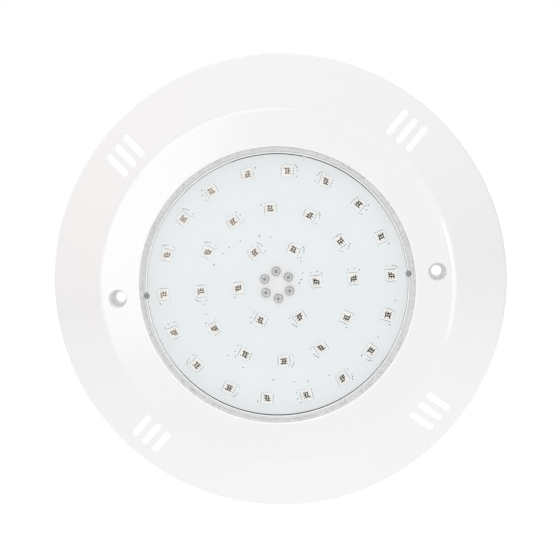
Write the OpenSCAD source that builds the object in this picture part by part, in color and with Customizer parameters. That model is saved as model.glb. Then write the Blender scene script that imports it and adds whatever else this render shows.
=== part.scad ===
// Underwater pool light for a pool wall: a sealed LED lamp, which is a clear
// window over a round light board, a heat sink and a driver, held in a
// conical white trim ring. Millimetres.
//
// Every piece is drawn in the lamp's own frame, where x is right, y is up,
// z runs along the lamp's axis towards the water and z = 0 is the pool wall.
// lamp_frame() then turns it upright: +X right, +Z up, the front looks along
// -Y, and the origin is midway between the two fixing holes, on the back
// faces of their well floors.

/* [Trim ring] */
// Outside diameter of the ring, at the wall
ring_d = 290; // [284:1:296]
// Height of the front face above the wall
ring_h = 55; // [54.5:0.5:56]
// Radius where the flat front face turns into the cone
face_r = 110; // [109:0.5:112]
// Fall of the cone per millimetre of radius
cone_slope = 1.2; // [1.1:0.05:1.3]
// Thickness of the moulded wall
wall = 3; // [2.5:0.25:3.2]
// Radius of the window opening
window_r = 85.7; // [85.6:0.1:86.2]
// Number of stiffening ribs behind the cone
rib_count = 8; // [4:4:8]

/* [Fixing holes] */
// Distance from the left fixing hole to the right one
hole_spacing = 198.4; // [198:0.2:199]
// Diameter of the screw clearance hole
hole_d = 6.6; // [5.5:0.1:7]
// Diameter of the well that hides the screw head
well_d = 11; // [10.8:0.1:12]
// Thickness of the well floor
floor_t = 3; // [2.5:0.25:3.5]

/* [Water slots] */
// Radius to the middle of the slots
slot_r = 124.7; // [123:0.5:126]
// Length of a slot
slot_len = 20; // [18:0.5:21]
// Width of a slot
slot_w = 4.4; // [4:0.1:5]
// Distance between neighbouring slots
slot_pitch = 8.04; // [7.5:0.05:9]

/* [Light board] */
// Radius of the light board
board_r = 80.9; // [79.5:0.1:81]
// Radius of the outer ring of LEDs
led_r_outer = 70.9; // [68:0.1:72]
// Radius of the middle ring of LEDs
led_r_middle = 47.6; // [45:0.1:50]
// Radius of the inner ring of LEDs
led_r_inner = 24.3; // [22:0.1:26]
// Side of an LED package
led_side = 6.6; // [5:0.1:7]
// Radius of the ring of centre screws
screw_ring_r = 8.5; // [8:0.1:10]
// Diameter of the centre screw heads
screw_head_d = 5.4; // [5:0.1:5.8]

/* [Lamp] */
// Outside radius of the rear housing
housing_r = 89.8; // [89.4:0.1:89.9]
// Thickness of the clear window
lens_t = 2.8; // [2.6:0.1:3]
// Number of heat sink fins
fin_count = 15; // [9:2:17]
// Distance between fins
fin_pitch = 7.6; // [6.8:0.1:7.6]

/* [Cable] */
// Radius of the cable sheath
cable_r = 4.2; // [4:0.1:4.4]
// Length of cable behind the wall
cable_tail = 78; // [40:1:120]
// Radius of one insulated core
core_r = 1.4; // [1.2:0.05:1.5]

/* [Hidden] */
$fn = 96;

// Trim ring; the 2D points are [radius, z]
ring_r = ring_d / 2;
hole_x = hole_spacing / 2;
well_r = well_d / 2;
well_wall = 2.5;
floor_z = 36;                 // back of the well floors, the origin plane
cone_angle = atan(cone_slope);
cone_normal = [sin(cone_angle), cos(cone_angle)];
lip_r = 0.8;                  // rounding at the window opening
edge_r = 4;                   // outside rounding from the face to the cone
edge_centre = [face_r - edge_r * tan(cone_angle / 2), ring_h - edge_r];
skirt_r = 6;                  // outside rounding from the cone to the skirt
corner_z = ring_h - cone_slope * (ring_r - face_r);
skirt_centre = [ring_r - skirt_r,
                corner_z - skirt_r * tan((90 - cone_angle) / 2)];
mid_wall_z = ring_h - wall / 2;  // middle of the face's thickness
collar_r = 90.05;             // inside radius, clear of the housing
collar_t = 2.4;

// Trim screws, their ears on the housing and their bosses on the ring
quad = [45, 135, 225, 315];   // angles of everything placed in fours
boss_ring_r = 99;
ear_z = 26;
ear_t = 4;
boss_z = ear_z + ear_t + 0.05;
insert_r = 2.8;

// Light board stack
board_z = 50;                 // front of the light board
board_t = 1.6;
pad_t = 0.5;
sink_front = board_z - board_t - pad_t;
sink_t = 3.5;
sink_back = sink_front - sink_t;
seal_front = 49.5;
seal_back = 47.9;
led_h = 1.5;
cavity_z = led_h - 0.7;       // floor of the LED cavity above the board
pin_x = 81.5;
pin_r = 1.65;
sink_screw_r = 72;            // radius of the ring of heat sink screws
countersink_h = 2.2;
wire_slot_y = -67;

// Housing and driver
housing_back = 8;
floor_in = 11;                // inside of the housing floor
driver_z = 17;                // back of the driver board
driver_t = 1.6;
driver_front = driver_z + driver_t;
standoff_ring_r = 50;
choke_wire_z = 1.5;           // back of the winding, above the board
choke_wire_h = 5.5;
choke_hub_r = 3.2;
connector_y = -44;
wire_xs = [for (k = [-1.5 : 1 : 1.5]) k * 2.5];

// Cable entry
gland_thread_r = 7.6;
gland_front = 18;
gland_bore_r = cable_r + 0.3;
nut_seat_r = 14;              // raised seat of the locknut
nut_seat_z = 13;
dam_z = 20;                   // front of the potting and of its dam
dam_bore_r = 17;
dam_r = 19;
sheath_front = 19;
bush_r = 5.9;
bush_back = -11.5;
bush_front = -1;
washer_back = -12.9;
core_y = 1.9;                 // half the spacing of the two cores
core_rise = 4.2;              // cores above the board at the terminals
core_z = driver_front + core_rise;
clamp_x = 32.2;               // terminal screws
clamp_rise = 6.5;

// ---- Placing ----

module lamp_frame() {
    rotate([90, 0, 0]) translate([0, 0, -floor_z]) children();
}

// children moved out to a radius and up to z, then turned to an angle
module polar(radius, angle, z = 0) {
    rotate([0, 0, angle]) translate([radius, 0, z]) children();
}

module at_quad(radius, z = 0) {
    for (angle = quad) polar(radius, angle, z) children();
}

// left and right of the axis
module at_pair(x, z = 0) {
    for (side = [-1, 1]) translate([side * x, 0, z]) children();
}

function centre_screw_angle(i) = 30 + 60 * i;

module at_centre_screws(z) {
    for (i = [0 : 5]) polar(screw_ring_r, centre_screw_angle(i), z) children();
}

// three rings of eighteen, twelve and six LEDs
module at_leds() {
    for (ring = [[led_r_outer, 18], [led_r_middle, 12], [led_r_inner, 6]],
         i = [0 : ring[1] - 1])
        polar(ring[0], 360 / ring[1] * i, board_z) children();
}

// on the front of the driver board
module on_driver(angle, radius = 38) {
    polar(radius, angle, driver_front) children();
}

// at each of the two cable cores
module at_cores(x, z) {
    for (side = [-1, 1]) translate([x, side * core_y, z]) children();
}

// ---- Shared shapes ----

// a box centred on x and y, standing on z
module block(size, z = 0) {
    translate([-size[0] / 2, -size[1] / 2, z]) cube(size);
}

// a round-ended bar along x
module stadium(length, width, height) {
    block([length - width, width, height]);
    at_pair((length - width) / 2)
        cylinder(r = width / 2, h = height, $fn = 48);
}

// a straight rod between two points
module rod(start, end, radius) {
    run = end - start;
    length = norm(run);
    translate(start)
        rotate([0, acos(run[2] / length), atan2(run[1], run[0])])
            cylinder(r = radius, h = length, $fn = 32);
}

// a bent wire through a list of points
module wire(points, radius) {
    for (i = [0 : len(points) - 2]) rod(points[i], points[i + 1], radius);
    for (i = [1 : len(points) - 2])
        translate(points[i]) sphere(r = radius, $fn = 32);
}

// a cross recess for a screw head, cut downwards from z = 0
module cross_recess(width, depth) {
    for (angle = [0, 90]) rotate([0, 0, angle])
        block([width, width / 4.5, depth + 1], -depth);
    translate([0, 0, -depth])
        cylinder(r1 = width / 8, r2 = width / 4, h = depth + 0.001);
}

// a pan head standing on z = 0
module pan_head(radius, height) {
    round_r = height / 2;
    rotate_extrude() union() {
        square([radius - round_r, height]);
        square([radius, round_r]);
        translate([radius - round_r, round_r]) circle(r = round_r, $fn = 48);
    }
}

// a 3 mm pan head screw, with the underside of its head at z = 0
module pan_screw(head_r, head_h, length, recess_w, turn = 0) {
    difference() {
        union() {
            pan_head(head_r, head_h);
            translate([0, 0, -length])
                cylinder(r = 1.5, h = length + 0.2, $fn = 48);
        }
        translate([0, 0, head_h]) rotate([0, 0, turn])
            cross_recess(recess_w, 1.1);
    }
}

// two rows of leads along x, one on each side of a package
module lead_rows(count, pitch, row_y, size) {
    for (i = [0 : count - 1], side = [-1, 1])
        translate([(i - (count - 1) / 2) * pitch, side * row_y, 0])
            block(size);
}

// a cutter through the light board and the layers next to it
module layer_hole(radius) {
    translate([0, 0, 40]) cylinder(r = radius, h = 20, $fn = 48);
}

module wire_slot() {
    translate([0, wire_slot_y, 40]) stadium(12, 4, 20);
}

// ---- Trim ring ----

// filled section of the ring's outside
module ring_outer_2d() {
    polygon([[window_r, 0], [window_r, ring_h - lip_r],
             [window_r + lip_r, ring_h], [edge_centre[0], ring_h],
             edge_centre + edge_r * cone_normal,
             skirt_centre + skirt_r * cone_normal,
             [ring_r, skirt_centre[1]], [ring_r, 1], [ring_r - 1, 0]]);
    translate([window_r + lip_r, ring_h - lip_r]) circle(r = lip_r, $fn = 48);
    translate(edge_centre) circle(r = edge_r);
    translate(skirt_centre) circle(r = skirt_r);
}

// filled section of the ring's hollow back
module ring_inner_2d() {
    polygon([[window_r - 3, -1], [window_r - 3, ring_h - wall],
             [edge_centre[0], ring_h - wall],
             edge_centre + (edge_r - wall) * cone_normal,
             skirt_centre + (skirt_r - wall) * cone_normal,
             [ring_r - wall, skirt_centre[1]], [ring_r - wall, -1]]);
    translate(edge_centre) circle(r = edge_r - wall, $fn = 48);
    translate(skirt_centre) circle(r = skirt_r - wall);
}

// radius of the middle of the cone's wall at a height
function mid_cone_r(z) =
    face_r + (ring_h - z) / cone_slope - wall / 2 / sin(cone_angle);

module rib(angle) {
    back_z = 40;
    root_r = collar_r + 1;
    rotate([0, 0, angle]) rotate([90, 0, 0])
        linear_extrude(height = 2.4, center = true)
            polygon([[root_r, back_z], [root_r, mid_wall_z],
                     [mid_cone_r(mid_wall_z), mid_wall_z],
                     [mid_cone_r(back_z), back_z]]);
}

module face_ring() {
    tie_z = 38;
    color([0.95, 0.95, 0.95]) lamp_frame() difference() {
        union() {
            rotate_extrude($fn = 180) difference() {
                ring_outer_2d();
                ring_inner_2d();
            }
            // collar that centres the lamp
            rotate_extrude($fn = 180) translate([collar_r, floor_z])
                square([collar_t, mid_wall_z - floor_z]);
            // screw wells
            at_pair(hole_x, floor_z)
                cylinder(r = well_r + well_wall, h = ring_h - 1 - floor_z);
            // bosses for the trim screws, tied to the collar
            at_quad(boss_ring_r, boss_z)
                cylinder(r = 4.6, h = mid_wall_z - boss_z);
            at_quad(collar_r + 1, tie_z) translate([0, -1.5, 0])
                cube([6, 3, mid_wall_z - tie_z]);
            for (i = [0 : rib_count - 1]) rib(360 / rib_count * (i + 0.5));
        }
        // bores of the wells, their clearance holes and flared mouths
        at_pair(hole_x) {
            translate([0, 0, floor_z + floor_t]) cylinder(r = well_r, h = 40);
            translate([0, 0, floor_z - 5]) cylinder(r = hole_d / 2, h = 30);
            translate([0, 0, ring_h - 0.5])
                cylinder(r1 = well_r, r2 = well_r + 0.6, h = 1);
        }
        // four groups of three water slots
        for (k = [-1 : 1]) at_quad(slot_r, 10)
            translate([0, k * slot_pitch, 0]) stadium(slot_len, slot_w, 50);
        // seats of the thread inserts
        at_quad(boss_ring_r, boss_z - 1)
            cylinder(r = insert_r, h = 10, $fn = 48);
    }
}

// sleeves with a groove round the outside
module thread_inserts() {
    bore_r = 2.05;
    color([0.80, 0.66, 0.36]) lamp_frame()
        at_quad(boss_ring_r, boss_z + 0.55) rotate_extrude() difference() {
            translate([bore_r, 0]) square([insert_r - bore_r, 7.8]);
            translate([2.6, 3.4]) square([1, 1]);
        }
}

module trim_screws() {
    head_h = 2.6;
    color([0.75, 0.75, 0.76]) lamp_frame()
        at_quad(boss_ring_r, ear_z) difference() {
            union() {
                cylinder(r = 2, h = 11.4, $fn = 48);
                mirror([0, 0, 1]) pan_head(3.9, head_h);
            }
            translate([0, 0, -head_h]) mirror([0, 0, 1]) cross_recess(4, 1.5);
        }
}

// ---- Window and housing ----

module lens() {
    back_z = ring_h - lens_t;
    flange_z = ring_h - wall - 0.1;   // front of the flange behind the ring
    step_r = 85.5;
    round_r = 0.5;
    color([0.85, 0.93, 0.97, 0.35]) lamp_frame()
        rotate_extrude($fn = 180) union() {
            polygon([[0, back_z], [83.6, back_z], [83.6, seal_front],
                     [89.6, seal_front], [89.6, flange_z],
                     [step_r, flange_z], [step_r, ring_h - round_r],
                     [step_r - round_r, ring_h], [0, ring_h]]);
            translate([step_r - round_r, ring_h - round_r])
                circle(r = round_r, $fn = 48);
        }
}

module lens_seal() {
    color([0.72, 0.74, 0.75]) lamp_frame() difference() {
        rotate_extrude($fn = 180) translate([81.6, seal_back])
            square([7.8, seal_front - seal_back]);
        at_pair(pin_x) layer_hole(pin_r + 0.15);
    }
}

// section of the cup, as [radius, z]
module housing_2d() {
    bore_r = gland_thread_r + 0.1;
    polygon([[bore_r, housing_back], [housing_r - 2, housing_back],
             [housing_r, housing_back + 2], [housing_r, seal_back],
             [83.6, seal_back], [83.6, sink_back], [79, sink_back],
             [79, sink_back - 2], [86.8, 37.5], [86.8, 12.5],
             [85.3, floor_in], [nut_seat_r, floor_in],
             [nut_seat_r, nut_seat_z], [bore_r, nut_seat_z]]);
}

module rear_housing() {
    web_z = 5.5;
    web_t = 2;
    web_h = 3;
    pillar_z = 10;            // inside the thickness of the floor
    ear_r = 5;
    color([0.93, 0.93, 0.93]) lamp_frame() difference() {
        union() {
            rotate_extrude($fn = 180) housing_2d();
            // stiffening web on the outside of the floor
            for (radius = [22, 54]) rotate_extrude($fn = 180)
                translate([radius, web_z]) square([web_t, web_h]);
            for (i = [0 : 7]) polar(23, 45 * i, web_z)
                translate([0, -web_t / 2, 0]) cube([60, web_t, web_h]);
            // dam that holds the potting resin round the cable entry
            translate([0, 0, pillar_z]) difference() {
                cylinder(r = dam_r, h = dam_z - pillar_z);
                translate([0, 0, -1]) cylinder(r = dam_bore_r, h = 20);
            }
            // pillars under the heat sink
            at_quad(sink_screw_r, pillar_z)
                cylinder(r = 4.5, h = sink_back - pillar_z, $fn = 48);
            // ears for the trim screws, each on a triangular gusset
            at_quad(boss_ring_r, ear_z) cylinder(r = ear_r, h = ear_t);
            at_quad(housing_r - 1.5, ear_z) translate([0, -ear_r, 0])
                cube([boss_ring_r - housing_r + 1.5, 2 * ear_r, ear_t]);
            at_quad(0) rotate([90, 0, 0])
                linear_extrude(height = 2.4, center = true)
                    polygon([[housing_r - 1, 12], [housing_r - 1, ear_z + 0.5],
                             [94, ear_z + 0.5]]);
        }
        at_quad(sink_screw_r, 28) cylinder(r = 2.02, h = 30, $fn = 48);
        at_quad(boss_ring_r, 20) cylinder(r = 2.15, h = 20, $fn = 48);
    }
}

// ---- Light board ----

module led_board() {
    color([0.91, 0.94, 0.95]) lamp_frame() difference() {
        translate([0, 0, board_z - board_t])
            cylinder(r = board_r, h = board_t, $fn = 180);
        at_pair(pin_x) layer_hole(pin_r + 0.1);
        at_centre_screws(0) layer_hole(1.65);
    }
}

module led_cavity(height) {
    block([4.6, 4.9, height], cavity_z);
}

// open packages with three leads on each of the two tangential sides
module led_packages() {
    body_z = 0.12;
    color([0.93, 0.90, 0.80]) lamp_frame() at_leds() difference() {
        union() {
            block([led_side, led_side, led_h - body_z], body_z);
            lead_rows(count = 3, pitch = 2, row_y = 3.3, size = [1.1, 2.6, 0.3]);
        }
        led_cavity(0.8);
    }
}

module led_resin() {
    color([0.95, 0.85, 0.55, 0.6]) lamp_frame() at_leds() led_cavity(0.6);
}

// pins with chamfered front ends
module board_pins() {
    length = 6;
    chamfer = 0.3;
    color([0.6, 0.6, 0.6]) lamp_frame() at_pair(pin_x, sink_back)
        rotate_extrude($fn = 48)
            polygon([[0, 0], [pin_r, 0], [pin_r, length - chamfer],
                     [pin_r - chamfer, length], [0, length]]);
}

// six centre screws, each recess turned differently
module board_screws() {
    color([0.70, 0.70, 0.70]) lamp_frame() for (i = [0 : 5])
        polar(screw_ring_r, centre_screw_angle(i), board_z)
            pan_screw(head_r = screw_head_d / 2, head_h = 1.8, length = 9,
                      recess_w = 2.9, turn = 20 + 37 * i);
}

module thermal_pad() {
    color([0.60, 0.66, 0.72]) lamp_frame() difference() {
        translate([0, 0, sink_front]) cylinder(r = 78, h = pad_t, $fn = 180);
        at_centre_screws(0) layer_hole(1.8);
        wire_slot();
    }
}

// ---- Heat sink ----

module heat_sink() {
    hub_back = 35;
    fin_back = 31;
    color([0.78, 0.79, 0.80]) lamp_frame() difference() {
        union() {
            translate([0, 0, sink_back])
                cylinder(r = 83.4, h = sink_t, $fn = 180);
            translate([0, 0, hub_back])
                cylinder(r = 13, h = sink_back - hub_back + 1);
            // parallel fins trimmed to a circle
            intersection() {
                translate([0, 0, fin_back])
                    cylinder(r = 62, h = sink_back - fin_back + 0.5);
                for (i = [0 : fin_count - 1])
                    translate([0, (i - (fin_count - 1) / 2) * fin_pitch, 0])
                        block([140, 1.6, 20], fin_back);
            }
        }
        at_pair(pin_x, sink_back - 1) cylinder(r = pin_r, h = 10, $fn = 48);
        at_centre_screws(38) cylinder(r = 1.52, h = 20, $fn = 48);
        // countersunk screw holes
        at_quad(sink_screw_r, sink_back - 1)
            cylinder(r = 2.15, h = 10, $fn = 48);
        at_quad(sink_screw_r, sink_front - countersink_h)
            cylinder(r1 = 2.15, r2 = 4.35, h = countersink_h, $fn = 48);
        wire_slot();
    }
}

module heat_sink_screws() {
    shank_r = 2;
    color([0.72, 0.72, 0.73]) lamp_frame()
        at_quad(sink_screw_r, sink_front) difference() {
            union() {
                translate([0, 0, -countersink_h])
                    cylinder(r1 = shank_r, r2 = 4.2, h = countersink_h,
                             $fn = 48);
                translate([0, 0, -15]) cylinder(r = shank_r, h = 13, $fn = 48);
            }
            cross_recess(4, 1.5);
        }
}

// ---- Driver ----

module driver_board() {
    color([0.16, 0.42, 0.24]) lamp_frame() difference() {
        translate([0, 0, driver_z]) cylinder(r = 56, h = driver_t);
        translate([0, 0, driver_z - 1]) cylinder(r = 20.5, h = 5);
        at_quad(standoff_ring_r, driver_z - 1)
            cylinder(r = 1.65, h = 5, $fn = 48);
    }
}

module board_standoffs() {
    color([0.80, 0.66, 0.36]) lamp_frame()
        at_quad(standoff_ring_r, floor_in) difference() {
            cylinder(r = 3.2, h = driver_z - floor_in, $fn = 6);
            translate([0, 0, 1]) cylinder(r = 1.52, h = 8, $fn = 48);
        }
}

module driver_screws() {
    color([0.72, 0.72, 0.73]) lamp_frame()
        at_quad(standoff_ring_r, driver_front)
            pan_screw(head_r = 2.8, head_h = 2, length = 6, recess_w = 3);
}

module bridge_rectifier() {
    color([0.12, 0.12, 0.13]) lamp_frame() on_driver(27, radius = 39) {
        block([8.4, 6.4, 2.8], 0.2);
        lead_rows(count = 2, pitch = 5, row_y = 3.55, size = [1.2, 2.1, 0.5]);
    }
}

// two cans, each with a groove near the board and a rimmed front end
module filter_capacitors() {
    color([0.10, 0.12, 0.20]) lamp_frame()
        for (angle = [72, 104]) on_driver(angle) rotate_extrude($fn = 64)
            polygon([[0, 0], [5, 0], [5, 1.4], [4.7, 1.7], [4.7, 2.1],
                     [5, 2.4], [5, 10.1], [4.6, 10.5], [3.6, 10.5],
                     [3.5, 10.3], [0, 10.3]]);
}

// a bobbin with two flanges
module choke_core() {
    flange_r = 6.5;
    wire_front = choke_wire_z + choke_wire_h;
    height = wire_front + choke_wire_z;
    color([0.22, 0.22, 0.24]) lamp_frame() on_driver(148)
        rotate_extrude($fn = 64)
            polygon([[0, 0], [flange_r, 0], [flange_r, choke_wire_z],
                     [choke_hub_r, choke_wire_z], [choke_hub_r, wire_front],
                     [flange_r, wire_front], [flange_r, height], [0, height]]);
}

// a solid sleeve with five turns showing on its outside
module choke_winding() {
    sleeve_t = 2.3;
    color([0.72, 0.40, 0.20]) lamp_frame() on_driver(148)
        rotate_extrude($fn = 64) union() {
            translate([choke_hub_r, choke_wire_z])
                square([sleeve_t, choke_wire_h]);
            for (i = [0 : 4])
                translate([choke_hub_r + sleeve_t, 2.05 + i * 1.1])
                    circle(r = 0.5, $fn = 32);
        }
}

// bodies with a wide outer tab and two inner leads
module mosfets() {
    lead_t = 0.6;
    color([0.13, 0.13, 0.14]) lamp_frame()
        for (angle = [196, 212, 240]) on_driver(angle) {
            block([6, 6.6, 2.3]);
            translate([3.6, 0, 0]) block([2.2, 5.2, lead_t]);
            for (side = [-1, 1]) translate([-4, side * 2.2, 0])
                block([2.8, 0.8, lead_t]);
        }
}

module control_chip() {
    color([0.10, 0.10, 0.11]) lamp_frame() on_driver(176) {
        block([8.8, 4, 1.5], 0.15);
        lead_rows(count = 7, pitch = 1.27, row_y = 2.5, size = [0.4, 1.2, 0.4]);
    }
}

// a stepped block with a wire hole and a screw hole for each core
module terminal_block() {
    color([0.20, 0.45, 0.30]) lamp_frame() translate([0, 0, driver_front])
        difference() {
            union() {
                translate([27, -5, 0]) cube([10, 10, 6.6]);
                translate([29, -5, 6]) cube([6.5, 10, 3]);
            }
            at_cores(26, core_rise) rotate([0, 90, 0])
                cylinder(r = 1.6, h = 9, $fn = 48);
            at_cores(clamp_x, clamp_rise) cylinder(r = 1.7, h = 5, $fn = 48);
        }
}

module terminal_screws() {
    color([0.75, 0.75, 0.76]) lamp_frame()
        at_cores(clamp_x, driver_front + clamp_rise) difference() {
            cylinder(r = 1.6, h = 1.9, $fn = 48);
            block([6, 0.6, 2], 1.1);
        }
}

module led_connector() {
    color([0.92, 0.90, 0.84]) lamp_frame()
        translate([0, connector_y, driver_front]) difference() {
            block([12, 6, 6]);
            for (x = wire_xs) translate([x, 0, 2])
                cylinder(r = 0.8, h = 5, $fn = 32);
        }
}

// four wires from the connector, under the fins, to the light board
module led_wires() {
    run_z = 28.6;
    color([0.80, 0.20, 0.18]) lamp_frame() for (x = wire_xs)
        wire([[x, connector_y, driver_front + 2], [x, connector_y, 27],
              [x, -46, run_z], [x, -64, run_z], [x, wire_slot_y, 31.5],
              [x, wire_slot_y, board_z - board_t]], 0.75);
}

// ---- Cable ----

module potting_plug() {
    color([0.16, 0.16, 0.17]) lamp_frame() difference() {
        translate([0, 0, floor_in])
            cylinder(r = dam_bore_r, h = dam_z - floor_in);
        translate([0, 0, floor_in - 1])
            cylinder(r = nut_seat_r, h = nut_seat_z - floor_in + 1);
        locknut_blank();
        translate([0, 0, housing_back])
            cylinder(r = gland_thread_r, h = gland_front - housing_back);
        translate([0, 0, housing_back])
            cylinder(r = cable_r, h = sheath_front - housing_back);
        at_cores(0, 10) cylinder(r = core_r, h = 30, $fn = 32);
    }
}

// each core comes up the cable, turns through an elbow and runs to its
// terminal
module cable_cores() {
    bend_r = 2.6;
    back_z = -cable_tail - 7;
    reach = 26.9;             // end of the core, from the lamp's axis
    color([0.25, 0.35, 0.65]) lamp_frame() at_cores(0, 0) union() {
        translate([0, 0, back_z])
            cylinder(r = core_r, h = core_z - bend_r - back_z, $fn = 32);
        translate([bend_r, 0, core_z - bend_r]) rotate([90, 0, 0])
            rotate([0, 0, 90]) rotate_extrude(angle = 90, $fn = 48)
                translate([bend_r, 0]) circle(r = core_r, $fn = 32);
        translate([bend_r, 0, core_z]) rotate([0, 90, 0])
            cylinder(r = core_r, h = reach - bend_r, $fn = 32);
    }
}

// a collar round each core, tapering to a solid pin
module core_ferrules() {
    collar_outer_r = 1.8;
    ferrule_pin_r = 1.5;
    pin_z = 4.4;
    length = 11;
    color([0.80, 0.80, 0.82]) lamp_frame() at_cores(22.5, core_z)
        rotate([90, 0, 90]) rotate_extrude($fn = 32)
            polygon([[core_r, 0], [collar_outer_r, 0], [collar_outer_r, 3.6],
                     [ferrule_pin_r, pin_z], [ferrule_pin_r, length],
                     [0, length], [0, pin_z], [core_r, pin_z]]);
}

module cable_sheath() {
    color([0.12, 0.12, 0.13]) lamp_frame() difference() {
        translate([0, 0, -cable_tail])
            cylinder(r = cable_r, h = cable_tail + sheath_front);
        at_cores(0, -cable_tail - 1)
            cylinder(r = core_r, h = cable_tail + 30, $fn = 32);
    }
}

// ---- Cable gland; polygon points are [radius, z] ----

module gland_body() {
    back_z = -9;
    flange_z = 3;
    flange_r = 12.7;
    color([0.74, 0.74, 0.72]) lamp_frame() difference() {
        union() {
            translate([0, 0, back_z])
                cylinder(r = gland_thread_r, h = gland_front - back_z);
            // hexagon with its back corners turned off
            intersection() {
                translate([0, 0, flange_z])
                    cylinder(r = flange_r, h = housing_back - flange_z,
                             $fn = 6);
                rotate_extrude()
                    polygon([[0, flange_z], [11.6, flange_z],
                             [flange_r, 3.8], [flange_r, housing_back],
                             [0, housing_back]]);
            }
        }
        translate([0, 0, -20]) cylinder(r = gland_bore_r, h = 50);
        translate([0, 0, -20]) cylinder(r = bush_r, h = 20 + bush_front);
        // groove for the O-ring
        rotate_extrude() translate([8.3, 6.5]) square([1.8, 2]);
    }
}

module gland_o_ring() {
    cord_r = 0.75;
    color([0.10, 0.10, 0.10]) lamp_frame()
        translate([0, 0, housing_back - cord_r])
            rotate_extrude() translate([9.2, 0]) circle(r = cord_r, $fn = 32);
}

module locknut_blank() {
    translate([0, 0, nut_seat_z]) cylinder(r = 11.5, h = 3, $fn = 6);
}

module gland_locknut() {
    color([0.74, 0.74, 0.72]) lamp_frame() difference() {
        locknut_blank();
        translate([0, 0, 10]) cylinder(r = gland_thread_r, h = 10);
    }
}

module gland_bush() {
    color([0.15, 0.15, 0.15]) lamp_frame() rotate_extrude()
        polygon([[cable_r, bush_back], [5.2, bush_back], [bush_r, -10.4],
                 [bush_r, bush_front], [cable_r, bush_front]]);
}

module gland_slip_washer() {
    bore_r = cable_r + 0.1;
    outer_r = 7;
    color([0.90, 0.90, 0.88]) lamp_frame() rotate_extrude()
        polygon([[bore_r, washer_back], [outer_r, washer_back],
                 [outer_r, bush_back], [bore_r, bush_back]]);
}

module gland_nut() {
    hex_r = 11.5;
    turned_r = 10.6;
    hex_back = -11.5;
    hex_front = 2.5;
    dome_r = 4;
    dome_z = -13.5;
    dome_flat_r = 5.4;
    color([0.74, 0.74, 0.72]) lamp_frame() difference() {
        union() {
            // hexagon with the corners turned off at both ends
            intersection() {
                translate([0, 0, hex_back])
                    cylinder(r = hex_r, h = hex_front - hex_back, $fn = 6);
                rotate_extrude()
                    polygon([[0, hex_back], [turned_r, hex_back],
                             [hex_r, -10.8], [hex_r, 1.8],
                             [turned_r, hex_front], [0, hex_front]]);
            }
            // rounded back end
            rotate_extrude() union() {
                translate([0, dome_z]) square([dome_flat_r + dome_r, 3]);
                translate([0, dome_z - dome_r]) square([dome_flat_r, dome_r]);
                translate([dome_flat_r, dome_z]) circle(r = dome_r);
            }
        }
        translate([0, 0, washer_back])
            cylinder(r = gland_thread_r + 0.05, h = 20);
        translate([0, 0, -25]) cylinder(r = gland_bore_r, h = 20);
    }
}

face_ring();
thread_inserts();
lens();
lens_seal();
rear_housing();
trim_screws();
led_board();
led_packages();
led_resin();
board_pins();
board_screws();
thermal_pad();
heat_sink();
heat_sink_screws();
driver_board();
board_standoffs();
driver_screws();
bridge_rectifier();
filter_capacitors();
choke_core();
choke_winding();
mosfets();
control_chip();
terminal_block();
terminal_screws();
led_connector();
led_wires();
potting_plug();
cable_cores();
core_ferrules();
cable_sheath();
gland_body();
gland_o_ring();
gland_locknut();
gland_bush();
gland_slip_washer();
gland_nut();
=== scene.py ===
"""A round underwater lamp, built on its CAD pieces.

The CAD pieces get their materials. The LEDs, the tracks and marks of their board, the window seal,
the threaded gland body and the core strands are modelled here. The lamp faces -y in the row frame.

Shapes are written in the lamp frame, in millimetres: x right, y up, z along the axis towards the
water, with z = 0 at the wall. Materials, lights and the floor use the row frame, in metres, z up.
"""

import math
import random

import bmesh
import bpy
from mathutils import Matrix, Vector

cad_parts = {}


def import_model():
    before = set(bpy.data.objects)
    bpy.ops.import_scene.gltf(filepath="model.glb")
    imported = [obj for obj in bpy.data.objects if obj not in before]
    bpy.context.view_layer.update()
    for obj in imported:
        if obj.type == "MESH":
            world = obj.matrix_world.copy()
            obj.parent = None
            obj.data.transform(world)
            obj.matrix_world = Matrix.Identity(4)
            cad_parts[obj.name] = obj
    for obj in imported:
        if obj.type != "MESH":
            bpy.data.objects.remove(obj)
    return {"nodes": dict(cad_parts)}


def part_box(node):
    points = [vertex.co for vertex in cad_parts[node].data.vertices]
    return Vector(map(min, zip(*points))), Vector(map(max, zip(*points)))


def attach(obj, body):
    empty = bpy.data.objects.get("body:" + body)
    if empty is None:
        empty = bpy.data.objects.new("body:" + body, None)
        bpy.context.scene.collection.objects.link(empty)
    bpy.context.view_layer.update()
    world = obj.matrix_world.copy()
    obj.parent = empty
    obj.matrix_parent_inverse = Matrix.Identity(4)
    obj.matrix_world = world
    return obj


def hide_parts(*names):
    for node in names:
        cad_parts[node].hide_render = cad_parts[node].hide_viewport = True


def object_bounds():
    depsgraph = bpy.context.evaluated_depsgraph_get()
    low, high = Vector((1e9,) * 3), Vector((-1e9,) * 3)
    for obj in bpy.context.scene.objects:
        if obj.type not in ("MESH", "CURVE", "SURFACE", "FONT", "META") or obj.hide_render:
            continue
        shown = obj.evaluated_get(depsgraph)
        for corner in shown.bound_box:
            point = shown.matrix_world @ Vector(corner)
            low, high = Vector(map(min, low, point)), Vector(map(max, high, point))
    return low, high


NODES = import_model()["nodes"]
CAD_LO, CAD_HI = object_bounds()
random.seed(41)

# ---------------------------------------------------------------- driving dimensions
WALL_Y = 0.036                                # the wall plane in the row frame, m
LAMP_TO_ROW = Matrix(((0.001, 0, 0, 0), (0, 0, -0.001, WALL_Y), (0, 0.001, 0, 0), (0, 0, 0, 1)))


def lamp_z(row_y):
    """Height above the wall, in mm, of a row-frame y."""
    return (WALL_Y - row_y) * 1000


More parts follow.
